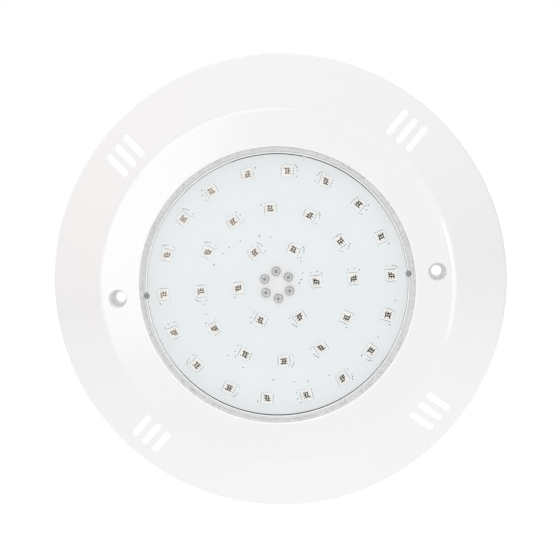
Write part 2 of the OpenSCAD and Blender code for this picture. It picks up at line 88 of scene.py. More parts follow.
BOARD_Z = lamp_z(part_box("led_board")[0].y)    # front of the light board
LED_RINGS = [(70.9, 18), (47.6, 12), (24.3, 6)]     # ring radius, number of LEDs
LEDS = [(r, 360.0 / count * i) for r, count in LED_RINGS for i in range(count)]
LED_WIDTH = 6.6
LEAD_PITCH = 2.0                              # between the three leads, and between their tracks
PIN_X, PIN_CLEARANCE = 81.5, 1.8              # the two board pins, and the radius kept free there
CORE_Y = 1.9                                  # cable cores lie this far above and below the axis


# ---------------------------------------------------------------- points and outlines
def polar(r, degrees):
    a = math.radians(degrees)
    return r * math.cos(a), r * math.sin(a)


def arc(cx, cy, r, start, end, steps):
    """Points on an arc, both ends included."""
    points = []
    for i in range(steps + 1):
        x, y = polar(r, start + (end - start) * i / steps)
        points.append((cx + x, cy + y))
    return points


def rounded_rect(width, height, r, steps=4):
    """Rounded rectangle, anticlockwise, centred."""
    x, y = width / 2 - r, height / 2 - r
    points = []
    for cx, cy, start in ((x, y, 0), (-x, y, 90), (-x, -y, 180), (x, -y, 270)):
        points += arc(cx, cy, r, start, start + 90, steps)
    return points


def smooth_path(control, steps):
    """Catmull-Rom points through the control points."""
    c = [Vector(p) for p in control]
    c = [c[0] * 2 - c[1]] + c + [c[-1] * 2 - c[-2]]
    points = []
    for i in range(1, len(c) - 2):
        for k in range(steps):
            t = k / steps
            points.append(0.5 * ((2 * c[i]) + (c[i + 1] - c[i - 1]) * t
                                 + (2 * c[i - 1] - 5 * c[i] + 4 * c[i + 1] - c[i + 2]) * t * t
                                 + (3 * c[i] - c[i - 1] - 3 * c[i + 1] + c[i + 2]) * t ** 3))
    points.append(c[-2])
    return points


# ---------------------------------------------------------------- parts: (vertices, faces)
def shifted(part, dx, dy):
    verts, faces = part
    return [(x + dx, y + dy, z) for x, y, z in verts], faces


def turned(part, degrees, at=(0, 0, 0)):
    """The part turned about z, then moved to at."""
    verts, faces = part
    c, s = polar(1, degrees)
    return [(x * c - y * s + at[0], x * s + y * c + at[1], z + at[2]) for x, y, z in verts], faces


def loft(sections, closed=False):
    """Sections of equal length joined in turn. The ends are capped, or joined if closed."""
    n, m = len(sections[0]), len(sections)
    verts = [p for section in sections for p in section]
    faces = []
    for i in range(m if closed else m - 1):
        j = (i + 1) % m
        for k in range(n):
            k2 = (k + 1) % n
            faces.append([i * n + k, i * n + k2, j * n + k2, j * n + k])
    if not closed:
        faces.append(list(reversed(range(n))))
        faces.append([(m - 1) * n + k for k in range(n)])
    return verts, faces


def stacked(rows, steps=4):
    """Rounded rectangles joined in turn; rows are (width, height, corner radius, z)."""
    return loft([[(x, y, z) for x, y in rounded_rect(width, height, r, steps)]
                 for width, height, r, z in rows])


def slab(width, height, r, z0, z1, bevel=0.0, steps=3):
    """A rounded plate, with its top edges softened if bevel is given."""
    rows = [(width, height, r, z0)]
    if bevel:
        rows.append((width, height, r, z1 - bevel))
        rows.append((width - bevel * 0.6, height - bevel * 0.6, max(r - bevel * 0.3, 0.01),
                     z1 - bevel * 0.3))
        rows.append((width - bevel * 2, height - bevel * 2, max(r - bevel, 0.01), z1))
    else:
        rows.append((width, height, r, z1))
    return stacked(rows, steps)


def lathe(profile, segments, closed=True, centre=(0, 0), z0=0.0):
    """A (r, z) profile turned about an axis through centre. A point on the axis is one vertex."""
    rows, verts, faces = [], [], []
    for r, z in profile:
        count = segments if r > 0 else 1
        rows.append([len(verts) + k % count for k in range(segments)])
        for k in range(count):
            x, y = polar(r, 360.0 * k / segments)
            verts.append((centre[0] + x, centre[1] + y, z + z0))
    for i in range(len(rows) if closed else len(rows) - 1):
        p, q = rows[i], rows[(i + 1) % len(rows)]
        for k in range(segments):
            k2 = (k + 1) % segments
            corners = list(dict.fromkeys([p[k], p[k2], q[k2], q[k]]))
            if len(corners) > 2:
                faces.append(corners)
    return verts, faces


def tube(path, r, sides):
    """A round wire along a list of points."""
    path = [Vector(p) for p in path]
    up = Vector((0.13, 0.21, 0.97)).normalized()    # not parallel to the start of any path here
    sections = []
    for i, point in enumerate(path):
        along = (path[min(i + 1, len(path) - 1)] - path[max(i - 1, 0)]).normalized()
        if i == 0:
            side = along.cross(up).normalized()
        else:
            side = (side - along * side.dot(along)).normalized()
        across = along.cross(side)
        ring = []
        for k in range(sides):
            a = 2 * math.pi * k / sides
            ring.append(tuple(point + (side * math.cos(a) + across * math.sin(a)) * r))
        sections.append(ring)
    return loft(sections)


class PartMesh:
    """Collects parts in lamp-frame millimetres and makes one object of them."""

    def __init__(self):
        self.verts, self.faces, self.slots = [], [], []

    def add(self, part, slot=0):
        verts, faces = part
        first = len(self.verts)
        self.verts += verts
        self.faces += [[i + first for i in face] for face in faces]
        self.slots += [slot] * len(faces)

    def make(self, name, materials, cad_slot, replaces=None, sharp_angle=35):
        """Edges over sharp_angle stay sharp; replaces names the CAD piece it stands in for."""
        mesh = bpy.data.meshes.new(name)
        mesh.from_pydata([LAMP_TO_ROW @ Vector(v) for v in self.verts], [], self.faces)
        for material in materials:
            mesh.materials.append(material)
        mesh.polygons.foreach_set("material_index", self.slots)
        edit = bmesh.new()
        edit.from_mesh(mesh)
        bmesh.ops.recalc_face_normals(edit, faces=edit.faces)
        edit.to_mesh(mesh)
        edit.free()
        mesh.validate()
        obj = bpy.data.objects.new(name, mesh)
        bpy.context.scene.collection.objects.link(obj)
        mesh.polygons.foreach_set("use_smooth", [True] * len(mesh.polygons))
        mesh.set_sharp_from_angle(angle=math.radians(sharp_angle))
        mesh.update()
        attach(obj, "lamp")
        if replaces:
            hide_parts(replaces)


# ---------------------------------------------------------------- shader graphs
class Graph:
    """The emptied node tree of a material or world. Each method adds a node and returns a socket."""

    def __init__(self, owner):
        owner.use_nodes = True
        self.tree = owner.node_tree
        self.tree.nodes.clear()

    def node(self, kind, inputs=None, output=0, **settings):
        """Inputs map a socket name or index to a value, or to a socket to link from."""
        made = self.tree.nodes.new("ShaderNode" + kind)
        for key, value in settings.items():
            setattr(made, key, value)
        for key, value in (inputs or {}).items():
            if isinstance(value, bpy.types.NodeSocket):
                self.tree.links.new(value, made.inputs[key])
            else:
                made.inputs[key].default_value = value
        return made.outputs[output]

    def finish(self, shader, kind="OutputMaterial"):
        made = self.tree.nodes.new("ShaderNode" + kind)
        self.tree.links.new(shader, made.inputs["Surface"])

    def coords(self, space="Object"):
        return self.node("TexCoord", output=space)

    def noise(self, vector, scale, detail=2.0, roughness=0.5):
        return self.node("TexNoise", {"Vector": vector, "Scale": scale, "Detail": detail,
                                      "Roughness": roughness}, output="Fac")

    def ranged(self, value, source=(0.0, 1.0), target=(0.0, 1.0), smooth=False):
        """The value carried from the source range to the target range."""
        return self.node("MapRange", {"Value": value, "From Min": source[0], "From Max": source[1],
                                      "To Min": target[0], "To Max": target[1]},
                         interpolation_type="SMOOTHSTEP" if smooth else "LINEAR")

    def math(self, operation, *values, **settings):
        return self.node("Math", dict(enumerate(values)), operation=operation, **settings)

    def blend(self, factor, first, second):
        """Numbers mixed: first where factor is 0, second where it is 1."""
        return self.math("ADD", self.math("MULTIPLY", second, factor),
                         self.math("MULTIPLY", first, self.math("SUBTRACT", 1.0, factor)))

    def blend_colours(self, factor, first, second):
        return self.node("Mix", {0: factor, 6: first, 7: second}, output=2, data_type="RGBA")

    def blend_shaders(self, factor, first, second):
        return self.node("MixShader", {0: factor, 1: first, 2: second})

    def scaled(self, vector, factor):
        return self.node("VectorMath", {0: vector, "Scale": factor}, operation="SCALE")

    def dot(self, first, second):
        return self.node("VectorMath", {0: first, 1: second}, "Value", operation="DOT_PRODUCT")

    def length(self, vector):
        return self.node("VectorMath", {0: vector}, "Value", operation="LENGTH")

    def axis_distance(self, vector):
        """Distance from the lamp's axis, m."""
        return self.length(self.node("Mapping", {"Vector": vector, "Scale": (1, 0, 1)}))

    def bump(self, height, strength, distance, normal=None):
        inputs = {"Height": height, "Strength": strength, "Distance": distance}
        if normal:
            inputs["Normal"] = normal
        return self.node("Bump", inputs)


def new_material(name):
    material = bpy.data.materials.new(name)
    return material, Graph(material)


def rgba(colour):
    return (*colour, 1.0)


def plastic(name, colour, rough, tint=None, tint_scale=14.0, grain=900.0, grain_bump=0.03,
            wave=60.0, wave_bump=0.02, metallic=0.0, edge=0.0, coat=0.0, rough_var=0.08,
            spec=0.5, scratch=0.0, glow=0.0, height_shade=None):
    """One procedural surface.

    tint, tint_scale: second colour and the scale of its clouds
    grain, wave: scales of the fine and the middle noise; grain_bump, wave_bump: their relief
    rough, rough_var: roughness, and how far it varies to either side
    edge: radius of the softened edges, m
    scratch: relief of the streaks; glow: painted light, an emission of the surface's own colour that
    brightens it though no lamp lights it
    height_shade: (factor at -span, factor at +span, span in m) that scales the colour by height
    """
    material, g = new_material(name)
    place = g.coords()
    clouds = g.ranged(g.noise(place, scale=tint_scale, detail=3.0, roughness=0.55),
                      source=(0.35, 0.65), target=(0.0, 0.5))
    surface = g.blend_colours(clouds, rgba(colour), rgba(tint or [c * 0.94 for c in colour]))
    if height_shade:
        low, high, span = height_shade
        height = g.node("SeparateXYZ", {0: g.coords()}, output="Z")
        surface = g.scaled(surface, g.ranged(height, source=(-span, span), target=(low, high)))
    fine = g.noise(place, scale=grain, detail=2.0, roughness=0.6)
    middle = g.noise(place, scale=wave, detail=4.0, roughness=0.6)
    roughness = g.ranged(middle, target=(max(0.02, rough - rough_var), min(1.0, rough + rough_var)))
    normal = g.node("Bevel", {"Radius": edge}, samples=4) if edge else None
    normal = g.bump(middle, strength=wave_bump, distance=0.001, normal=normal)
    normal = g.bump(fine, strength=grain_bump, distance=0.0002, normal=normal)
    if scratch:
        stretched = g.node("Mapping", {"Vector": place, "Scale": (1.0, 60.0, 1.0)})
        streaks = g.noise(stretched, scale=220.0, detail=2.0)
        normal = g.bump(streaks, strength=scratch, distance=0.0001, normal=normal)
    inputs = {"Base Color": surface, "Metallic": metallic, "Roughness": roughness,
              "Specular IOR Level": spec, "Coat Weight": coat, "Coat Roughness": 0.08,
              "Normal": normal}
    if glow:
        inputs["Emission Color"] = surface
        inputs["Emission Strength"] = glow
    g.finish(g.node("BsdfPrincipled", inputs))
    return material


def metal(name, colour, rough, **options):
    return plastic(name, colour, rough=rough, tint=[c * 0.82 for c in colour], metallic=1.0,
                   rough_var=0.1, grain_bump=0.06, **options)


def ring_plastic(name, rough=0.3, **options):
    """The white of the face ring."""
    return plastic(name, (0.905, 0.900, 0.898), rough=rough, tint=(0.895, 0.895, 0.90),
                   tint_scale=9, grain=1500, grain_bump=0.01, wave=30, wave_bump=0.006, spec=0.5,
                   rough_var=0.03, **options)


def clear_sheet(g, waves, tint, rough, weight):
    """Light passes straight through, with a Fresnel reflection and faint surface waves.

    The reflectance is Schlick's, from the view angle alone, so light leaving a sheet isn't
    trapped in it. weight scales it.
    """
    head_on = 0.04                            # reflectance seen square on
    through = g.node("BsdfTransparent", {"Color": tint})
    normal = g.bump(waves, strength=0.01, distance=0.001)
    mirror = g.node("BsdfGlossy", {"Roughness": rough, "Normal": normal})
    geometry = g.node("NewGeometry").node.outputs
    cosine = g.math("ABSOLUTE", g.dot(geometry["Incoming"], geometry["Normal"]))
    power = g.math("POWER", g.math("SUBTRACT", 1.0, cosine, use_clamp=True), 5.0)
    fresnel = g.math("MULTIPLY_ADD", power, 1 - head_on, head_on)
    return g.blend_shaders(g.math("MULTIPLY", fresnel, weight), through, mirror)


def clear_resin(name):
    material, g = new_material(name)
    tint = (0.975, 0.968, 0.952)
    waves = g.noise(g.coords(), scale=9.0)
    colour = g.blend_colours(waves, rgba(tint), rgba([min(1.0, c * 1.01) for c in tint]))
    g.finish(clear_sheet(g, waves, colour, rough=0.05, weight=0.25))
    return material


def clear_window(name):
    """Clear moulded window with a ground, hazy land round its rim."""
    land_r, land_fade, land_haze = 0.0830, 0.0006, 0.60     # start and soft width, m; haze
    material, g = new_material(name)
    place = g.coords()
    waves = g.noise(place, scale=9.0)
    sheet = clear_sheet(g, waves, (0.994, 0.997, 0.998, 1), rough=0.03, weight=0.3)
    land = g.ranged(g.axis_distance(place), source=(land_r, land_r + land_fade),
                    target=(0.0, land_haze), smooth=True)
    flecks = g.ranged(g.noise(place, scale=900.0, detail=1.0), target=(0.85, 1.15))
    ground = g.node("BsdfDiffuse", {"Color": (0.93, 0.925, 0.925, 1)})
    g.finish(g.blend_shaders(g.math("MULTIPLY", land, flecks), sheet, ground))
    return material


def dark_finish_painted_light(name, dark, light, rough):
    """Dark finish that turns lighter and warmer towards the board's upper left: painted light across
    the board.
    """
    material, g = new_material(name)
    place = g.coords()
    upper_left = g.dot(place, (-0.80, 0.0, 0.60))
    painted_light_amount = g.ranged(upper_left, source=(-0.022, 0.070), smooth=True)
    colour = g.blend_colours(painted_light_amount, rgba(dark), rgba(light))
    mottle = g.noise(place, scale=2200.0)
    tone = g.ranged(mottle, source=(0.3, 0.7), target=(0.6, 1.7))
    g.finish(g.node("BsdfPrincipled", {
        "Base Color": g.scaled(colour, tone), "Roughness": rough,
        "Normal": g.bump(mottle, strength=0.1, distance=0.0001)}))
    return material


MASK = (0.870, 0.904, 0.920)
MASK_CENTRE = (0.918, 0.911, 0.907)
# towards the board's edge the lacquer takes painted shade, darker and warmer
MASK_EDGE_PAINTED_SHADE = (0.856, 0.886, 0.891)


def solder_mask(name):
    """White lacquer: bluish, warmer at the centre, darker and warmer towards the edge as painted
    shade, with a faint weave.
    """
    material, g = new_material(name)
    place = g.coords()
    distance = g.axis_distance(place)
    past_centre = g.ranged(distance, source=(0.0105, 0.0140))
    painted_edge_shade = g.ranged(distance, source=(0.056, 0.081), smooth=True)
    colour = g.blend_colours(past_centre, rgba(MASK_CENTRE), rgba(MASK))
    colour = g.blend_colours(painted_edge_shade, colour, rgba(MASK_EDGE_PAINTED_SHADE))
    weave = g.node("TexWave", {"Vector": place, "Scale": 420.0, "Distortion": 0.6}, output="Fac")
    mottle = g.noise(place, scale=70.0, detail=4.0)
    normal = g.bump(weave, strength=0.03, distance=0.0001)
    normal = g.bump(mottle, strength=0.05, distance=0.0003, normal=normal)
    g.finish(g.node("BsdfPrincipled", {
        "Base Color": g.scaled(colour, g.ranged(mottle, target=(0.985, 1.01))),
        "Roughness": 0.42, "Normal": normal}))
    return material


# ---------------------------------------------------------------- materials
# face ring, housing, window and seal
ring_white = ring_plastic("abs_white_ring", rough=0.13, edge=0.0004)
# slot walls, rim wall and wells: painted light, a glow that brightens their shaded walls
slot_wall_painted_light = ring_plastic("abs_white_slot_wall_painted_light", glow=0.36)
rim_wall_painted_light = ring_plastic("abs_white_rim_wall_painted_light", glow=0.20)
well_painted_light = ring_plastic("abs_white_well_painted_light", glow=0.07)
housing_white = plastic("abs_white_housing", (0.86, 0.86, 0.86), rough=0.38,
                        tint=(0.84, 0.845, 0.85), grain=2200, grain_bump=0.12, wave=80,
                        wave_bump=0.06, edge=0.0003)
window_clear = clear_window("window_clear")
# lip made bright by painted light: a glow stands in for its highlight
silicone_lip_painted_highlight = plastic("silicone_lip_painted_highlight", (0.95, 0.945, 0.945), rough=0.25, tint=(0.93, 0.93, 0.93),
                       glow=0.26, grain=1800, grain_bump=0.05, wave=300, wave_bump=0.04)
# lighter at the bottom and darker at the top: painted light and shade
silicone_grey = plastic("silicone_grey", (0.80, 0.795, 0.80), rough=0.4, tint=(0.76, 0.76, 0.77),
                        grain=1800, grain_bump=0.15, wave=120, wave_bump=0.08, edge=0.0003,
                        height_shade=(1.10, 0.92, 0.085))

# light board and LEDs
mask_white = solder_mask("solder_mask_white")
track_white = plastic("solder_mask_tracks", [c * 0.995 for c in MASK], rough=0.6,
                      tint=[c * 0.985 for c in MASK], grain=2500, grain_bump=0.03, wave=300,
                      wave_bump=0.01, spec=0.2)
led_cream = plastic("led_body_cream", (0.968, 0.962, 0.947), rough=0.45,
                    tint=(0.965, 0.955, 0.935), tint_scale=200, grain=9000, grain_bump=0.12,
                    wave=900, wave_bump=0.05)
# leads: a faint glow of painted light lifts the shade round the LED bodies
lead_tin = plastic("led_leads_tin", (0.97, 0.975, 0.975), rough=0.5, tint=(0.94, 0.945, 0.945),
                   metallic=0.1, glow=0.04, tint_scale=900, grain=8000, wave=2500, spec=0.3)
# silver frame with painted light: a glow brightens the floor of each LED window
frame_silver = plastic("led_frame_silver", (0.97, 0.965, 0.955), rough=0.35,
                       tint=(0.92, 0.91, 0.89), tint_scale=2600, grain=9000, wave=3000, spec=0.6,
                       glow=0.22)
# LED frame gaps and dice: dark, with painted light that lightens and warms them towards the board's
# upper left
frame_gap = dark_finish_painted_light("led_frame_gaps", dark=(0.008, 0.006, 0.006),
                           light=(0.31, 0.255, 0.205), rough=0.45)
die_red = dark_finish_painted_light("led_die_red", dark=(0.030, 0.016, 0.014), light=(0.36, 0.27, 0.21),
                         rough=0.25)
die_blue = dark_finish_painted_light("led_die_blue", dark=(0.012, 0.012, 0.014), light=(0.30, 0.25, 0.21),
                          rough=0.22)
bond_gold = metal("bond_wire", (0.62, 0.56, 0.46), rough=0.3, tint_scale=900, grain=9000, wave=3000)
resin_clear = clear_resin("led_resin_clear")
# solder: a faint glow of painted light lifts the shade round the LED bodies
solder_tin = plastic("solder_tin", (0.97, 0.975, 0.98), rough=0.5, tint=(0.95, 0.955, 0.96),
                     metallic=0.1, glow=0.04, tint_scale=900, grain=6000, wave=1500, spec=0.3)
silk_grey = plastic("silk_grey", (0.045, 0.04, 0.04), rough=0.6, tint_scale=500, grain=6000,
                    wave=1500)

# screws, board edge, pins and heat sink
steel = metal("steel_screw", (0.50, 0.50, 0.505), rough=0.26, tint_scale=300, grain=5000,
              wave=900, wave_bump=0.05, edge=0.00012)
# board screws: one steel in three tones, lighter on the face, darker at the rim and in the recess:
# painted light and shade
steel_face_painted_light = metal("steel_screw_face_painted_light", (0.76, 0.76, 0.765), rough=0.5, tint_scale=900, grain=7000,
                   wave=1200)
steel_rim_painted_shade = metal("steel_screw_rim_painted_shade", (0.42, 0.42, 0.425), rough=0.4, tint_scale=900, grain=6000,
                  wave=900)
steel_recess_painted_shade = metal("steel_screw_recess_painted_shade", (0.50, 0.50, 0.505), rough=0.5, tint_scale=900,
                     grain=6000, wave=900)
core_dark = plastic("board_core_edge", (0.07, 0.065, 0.06), rough=0.7, tint=(0.12, 0.11, 0.10),
                    tint_scale=300, grain=5000, grain_bump=0.3, wave=900)
# lighter copies of the board edge and the heat sink's rim: painted light in the gap round the board
core_edge_painted_light = plastic("board_core_edge_pale_painted_light", (0.55, 0.54, 0.52), rough=0.6, tint=(0.5, 0.49, 0.47),
                    tint_scale=300, grain=5000, grain_bump=0.3, wave=900)
sink_rim_painted_light = metal("sink_rim_pale_painted_light", (0.62, 0.62, 0.63), rough=0.45, tint_scale=40, grain=2500,
                  wave=200)
pin_grey = plastic("pin_grey", (0.33, 0.335, 0.335), rough=0.45, tint_scale=400, grain=5000,
                   wave=900, edge=0.0001)
pad_grey = plastic("thermal_pad_grey", (0.44, 0.50, 0.56), rough=0.7, tint_scale=60, grain=1500,
                   grain_bump=0.2)
sink_dark = metal("sink_anodised", (0.10, 0.10, 0.105), rough=0.45, tint_scale=40, grain=2500,
                  wave=200, scratch=0.25, edge=0.0002)
brass = metal("insert_brass", (0.74, 0.56, 0.26), rough=0.3, tint_scale=300, grain=4000, wave=700,
              edge=0.0001)

# driver board
driver_green = plastic("driver_mask_green", (0.03, 0.16, 0.07), rough=0.3, tint=(0.02, 0.12, 0.05),
                       tint_scale=60, grain=2500, wave=300, coat=0.4, edge=0.0001)
epoxy_black = plastic("epoxy_black", (0.02, 0.02, 0.022), rough=0.55, tint=(0.04, 0.04, 0.045),
                      tint_scale=300, grain=6000, grain_bump=0.3, edge=0.0001)
capacitor_blue = plastic("capacitor_sleeve", (0.012, 0.016, 0.05), rough=0.22,
                         tint=(0.02, 0.025, 0.07), tint_scale=200, grain=3000, coat=0.3)
ferrite = plastic("ferrite_grey", (0.035, 0.035, 0.038), rough=0.65, tint=(0.07, 0.07, 0.07),
                  tint_scale=400, grain=5000, grain_bump=0.4, edge=0.0002)
copper = metal("copper_enamel", (0.58, 0.22, 0.08), rough=0.2, tint_scale=300, grain=2500,
               wave=600, coat=0.5)
terminal_green = plastic("terminal_green", (0.03, 0.20, 0.09), rough=0.45, tint_scale=200,
                         grain=5000, grain_bump=0.2, edge=0.0002)
connector_cream = plastic("connector_cream", (0.78, 0.73, 0.60), rough=0.5, tint_scale=200,
                          grain=5000, grain_bump=0.2, edge=0.0002)
wire_red = plastic("wire_red", (0.50, 0.02, 0.02), rough=0.35, tint=(0.42, 0.02, 0.02),
                   tint_scale=120, grain=4000)

# cable and gland
core_blue = plastic("core_blue", (0.03, 0.10, 0.42), rough=0.38, tint=(0.025, 0.08, 0.34),
                    tint_scale=120, grain=4000)
core_brown = plastic("core_brown", (0.16, 0.06, 0.025), rough=0.38, tint=(0.13, 0.05, 0.02),
                     tint_scale=120, grain=4000)
potting = plastic("potting_resin", (0.02, 0.02, 0.022), rough=0.15, tint=(0.03, 0.03, 0.035),
                  tint_scale=60, grain=1500, wave=150, wave_bump=0.15)
tinned = metal("tinned_copper", (0.70, 0.70, 0.71), rough=0.3, tint_scale=400, grain=6000,
               wave=1500)
cable_rubber = plastic("cable_rubber", (0.025, 0.025, 0.027), rough=0.5, tint=(0.04, 0.04, 0.042),
                       tint_scale=60, grain=2600, grain_bump=0.3, wave=220, wave_bump=0.1)
plated = metal("plated_brass", (0.60, 0.585, 0.55), rough=0.2, tint_scale=60, grain=3000,
               wave=260, wave_bump=0.08, edge=0.0003)
rubber_black = plastic("rubber_black", (0.018, 0.018, 0.018), rough=0.6, tint=(0.03, 0.03, 0.03),
                       tint_scale=90, grain=4000, grain_bump=0.3, edge=0.0002)
nylon_white = plastic("nylon_white", (0.80, 0.80, 0.77), rough=0.45, tint_scale=200, grain=5000,
                      edge=0.0002)

CAD_LOOKS = {
    "face_ring": ring_white, "thread_inserts": brass, "lens": window_clear,
    "rear_housing": housing_white, "trim_screws": steel, "led_board": mask_white,
    "board_pins": pin_grey, "board_screws": steel_face_painted_light, "thermal_pad": pad_grey,
    "heat_sink": sink_dark, "heat_sink_screws": steel, "driver_board": driver_green,
    "board_standoffs": brass, "driver_screws": steel, "bridge_rectifier": epoxy_black,
    "filter_capacitors": capacitor_blue, "choke_core": ferrite, "choke_winding": copper,
    "mosfets": epoxy_black, "control_chip": epoxy_black, "terminal_block": terminal_green,
    "terminal_screws": steel, "led_connector": connector_cream, "led_wires": wire_red,
    "potting_plug": potting, "cable_cores": core_blue, "core_ferrules": tinned,
    "cable_sheath": cable_rubber, "gland_body": plated, "gland_o_ring": rubber_black,
    "gland_locknut": plated, "gland_bush": rubber_black, "gland_slip_washer": nylon_white,
    "gland_nut": plated, "lens_seal": silicone_grey, "led_packages": led_cream,
    "led_resin": resin_clear,
}
for node_name, node_object in NODES.items():
    node_object.data.materials.clear()
    node_object.data.materials.append(CAD_LOOKS[node_name])


# ---------------------------------------------------------------- faces with another finish, or with painted light or shade
def finish_faces(node_name, materials, pick):
    """Adds materials after the node's own; pick gives each face's slot.

    pick gets the face's centre in the lamp frame and the z part of its normal.
    """
    mesh = NODES[node_name].data
    for material in materials:
        mesh.materials.append(material)
    for face in mesh.polygons:
        centre = face.center
        face.material_index = pick(centre.x * 1000, centre.z * 1000, lamp_z(centre.y),
                                   -face.normal.y)


def ring_slot(x, y, z, nz):
    """Slots: 0 the ring, 1 slot walls on the diagonals, 2 wells left and right, 3 rim wall; 1 to 3
    get painted light, a glow that brightens their shaded walls.
    """
    if math.hypot(abs(x) - 99.2, y) < 5.9 and z < 54.9:
        return 2
    if 85.4 < math.hypot(x, y) < 86.1 and z > 47:
        return 3
    diagonal = 45 + 90 * math.floor(math.degrees(math.atan2(y, x)) / 90)
    c, s = polar(1, diagonal)
    along, across = x * c + y * s, -x * s + y * c
    in_slot = 113 < along < 136.5 and abs(across) < 10.6 and z > 12
    return 1 if abs(nz) < 0.2 and in_slot else 0


def screw_slot(x, y, z, nz):
    """Slots: 0 the face of the screw, 1 its rim, 2 its recess; the three are lit and shaded copies
    of one steel, painted light and shade.
    """
    centres = [polar(8.5, 30 + 60 * i) for i in range(6)]
    distance = min(math.hypot(x - cx, y - cy) for cx, cy in centres)
    if distance > 2.15 and nz < 0.86:
        return 1
    return 2 if distance < 1.7 and z < 51.7 else 0


def painted_light_rim(x, y):
    """True where rims get painted light: all but the bottom and a stretch at the upper right."""
    return abs(x) > -y * 1.3 and not 0.78 * x < y < 2.25 * x


def board_slot(x, y, z, nz):
    """Slots: 0 the lacquer, 1 the dark part of the outer edge, 2 its pale part, a lighter copy that
    paints light into the gap.
    """
    if abs(nz) > 0.3 or math.hypot(x, y) < 70:
        return 0
    return 2 if painted_light_rim(x, y) else 1


def sink_slot(x, y, z, nz):
    """Slots: 0 the heat sink, 1 the pale part of its rim, a lighter copy that paints light into the
    gap.
    """
    return 1 if math.hypot(x, y) > 70 and painted_light_rim(x, y) else 0


def core_slot(x, y, z, nz):
    """Slots: 0 the lower core, 1 the upper one."""
    return 1 if y > 0 else 0


finish_faces("face_ring", [slot_wall_painted_light, well_painted_light, rim_wall_painted_light], ring_slot)
finish_faces("board_screws", [steel_rim_painted_shade, steel_recess_painted_shade], screw_slot)
finish_faces("led_board", [core_dark, core_edge_painted_light], board_slot)
finish_faces("heat_sink", [sink_rim_painted_light], sink_slot)
finish_faces("cable_cores", [core_brown], core_slot)

# ---------------------------------------------------------------- LEDs
# (width, height, corner radius, z above the board), up the outside and down into the window
LED_BODY = [
    (LED_WIDTH - 0.16, LED_WIDTH - 0.16, 0.30, 0.12), (LED_WIDTH, LED_WIDTH, 0.35, 0.70),
    (LED_WIDTH - 0.10, LED_WIDTH - 0.10, 0.33, 1.38),
    (LED_WIDTH - 0.22, LED_WIDTH - 0.22, 0.28, 1.48),
    (LED_WIDTH - 0.42, LED_WIDTH - 0.42, 0.22, 1.50),
    (4.66, 4.96, 0.62, 1.50), (4.58, 4.88, 0.58, 1.45), (3.98, 4.28, 0.46, 0.80),
    (3.90, 4.20, 0.44, 0.77),
]
LED_RESIN = [
    (3.7, 4.0, 0.42, 1.26), (4.36, 4.66, 0.52, 1.30), (4.46, 4.76, 0.54, 1.41),
    (3.4, 3.7, 0.5, 1.385), (1.6, 1.8, 0.4, 1.37),
]
# (y, z) outline of a formed lead, from the body out to its foot and back
LEAD_OUTLINE = [
    (3.05, 0.62), (3.42, 0.62), (3.62, 0.50), (3.74, 0.22), (3.86, 0.18), (4.60, 0.18),
    (4.60, 0.0), (3.78, 0.0), (3.62, 0.05), (3.50, 0.36), (3.38, 0.44), (3.05, 0.44),
]
LEAD_HALF_WIDTH = 0.5
FRAME_TOP = 0.776                             # top of the silver frame on the window floor
GAP_LENGTH = 3.8
DIE_BASE, DIE_TOP = 0.80, 0.94
DICE = [(-1.28, 0.82, "red"), (0.02, -0.80, "blue"), (1.30, 0.78, "blue")]    # x, y, finish
FILLET = [(1.0, 0.0), (0.93, 0.05), (0.74, 0.12), (0.45, 0.17)]      # outline scale, z
FILLET_Y = 4.52
CHIP_LOOKS = {"pad": frame_silver, "gap": frame_gap, "red": die_red, "blue": die_blue,
              "wire": bond_gold}
VARIANTS = 5


def corner_mark():
    """A thin triangle on a corner of the body that shows which way round it sits."""
    inner, outer = LED_WIDTH / 2 - 0.85, LED_WIDTH / 2 - 0.28
    verts = [(x, y, z) for z in (1.504, 1.485)
             for x, y in ((inner, outer), (outer, outer), (outer, inner))]
    return verts, [[0, 1, 2], [5, 4, 3], [0, 3, 4, 1], [1, 4, 5, 2], [2, 5, 3, 0]]


def lead_parts(draw):
    """Six leads, each with a dark strip of painted shade where it turns down to its pad."""
    parts = []
    for side in (-1, 1):
        for k in (-1, 0, 1):
            x = k * LEAD_PITCH
            lead = loft([[(x + dx, side * y, z) for y, z in LEAD_OUTLINE]
                         for dx in (-LEAD_HALF_WIDTH, LEAD_HALF_WIDTH)])
            parts.append((lead, "lead"))
            stray = draw.uniform(-0.12, 0.12)
            # painted shade: a dark strip stands in for the shade at the lead's bend
            bend_shade_strip = slab(0.90 + stray, 0.24, 0.10, 0.0, 0.56, bevel=0.03, steps=2)
            parts.append((shifted(bend_shade_strip, x + stray, side * 3.80), "blue"))
    return parts


def gap_parts(draw):
    """The dark gaps that split the frame into pads."""
    def gap(width, height, x, y, top):
        return shifted(slab(width, height, 0.06, FRAME_TOP, top, bevel=0.005), x, y), "gap"

    parts = []
    for x, width in ((-1.34, 0.67), (0.0, 0.77), (1.34, 0.67)):
        cut = draw.uniform(0.0, 1.3)
        dx = draw.uniform(-0.12, 0.12)
        dy = draw.choice((-0.5, 0.5)) * cut
        parts.append(gap(width, GAP_LENGTH - cut, x + dx, dy, 0.800))
    for y in (-0.80, 0.80):
        cut = draw.uniform(0.0, 1.2)
        dx = draw.choice((-0.5, 0.5)) * cut
        dy = draw.uniform(-0.12, 0.12)
        parts.append(gap(GAP_LENGTH - cut, 0.73, dx, y + dy, 0.802))
    for k in (-1, 0, 1):
        for side in (-1, 1):
            if draw.random() < 0.5:
                parts.append(gap(0.60, 0.50, k * 1.5 + 0.2, side * 1.80, 0.803))
    return parts


